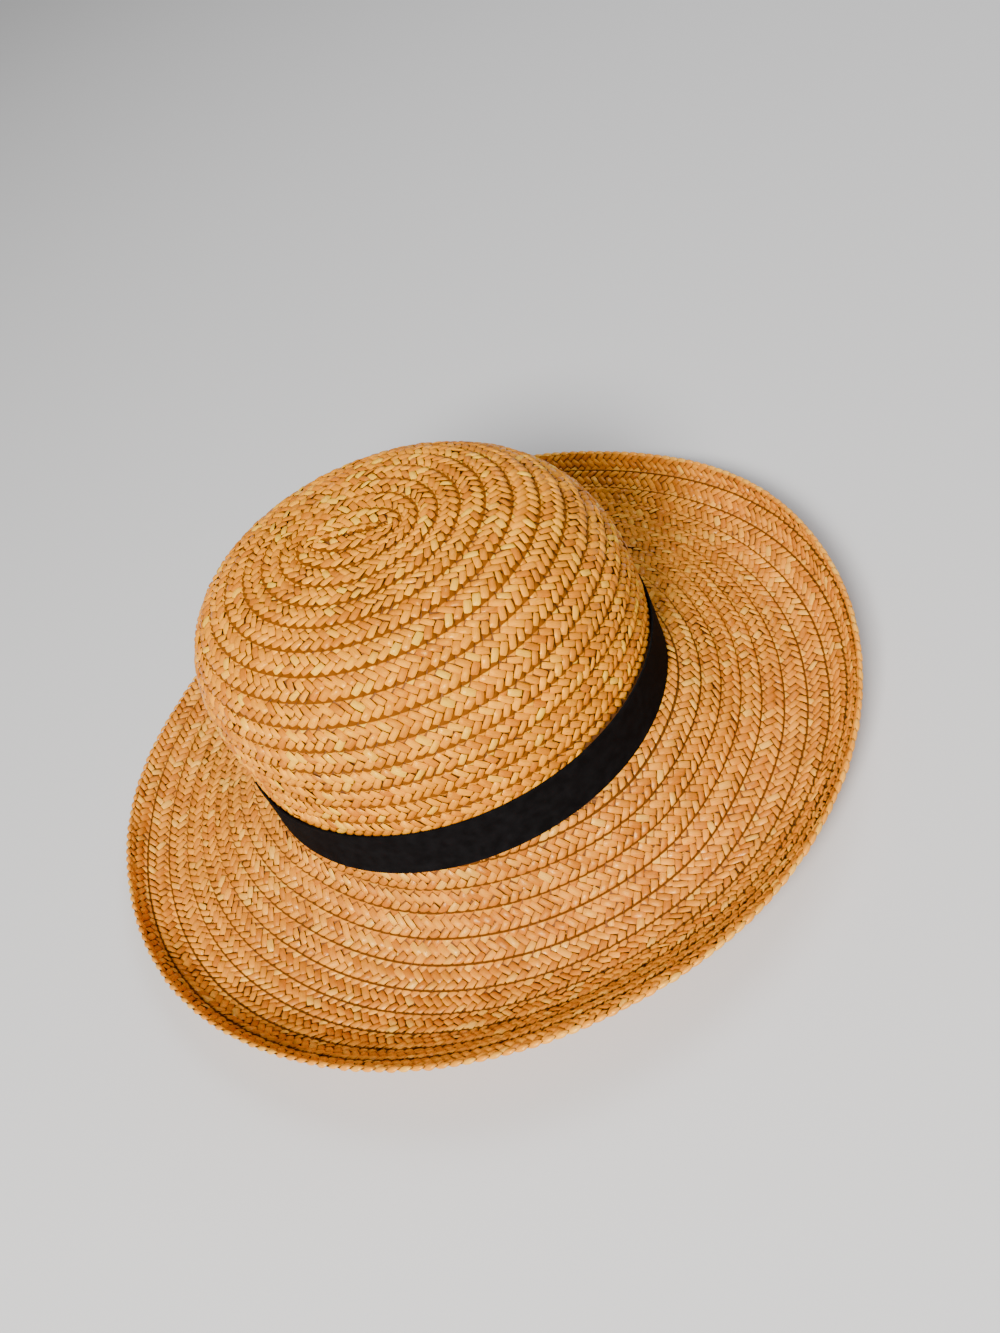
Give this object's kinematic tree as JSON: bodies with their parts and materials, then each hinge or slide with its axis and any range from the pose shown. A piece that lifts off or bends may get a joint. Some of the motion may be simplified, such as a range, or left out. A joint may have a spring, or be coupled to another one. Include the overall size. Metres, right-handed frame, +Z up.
{
  "type": "straw hat",
  "caption": "Round-crowned hat of sewn straw braid with a wide upturned brim and a plain black ribbon band.",
  "frame": {"origin": "middle of the whole hat's outline, on the surface that it stands on", "axes": "+Z up, -Y towards the wearer's front, +X towards the wearer's left"},
  "size_m": [0.3456, 0.357, 0.1396],
  "materials": {
    "straw_crown": "satin",
    "straw_brim": "satin",
    "ribbon": "matte"
  },
  "bodies": {
    "root": {"crown": "straw_crown", "brim": "straw_brim", "band": "ribbon"}
  },
  "joints": []
}
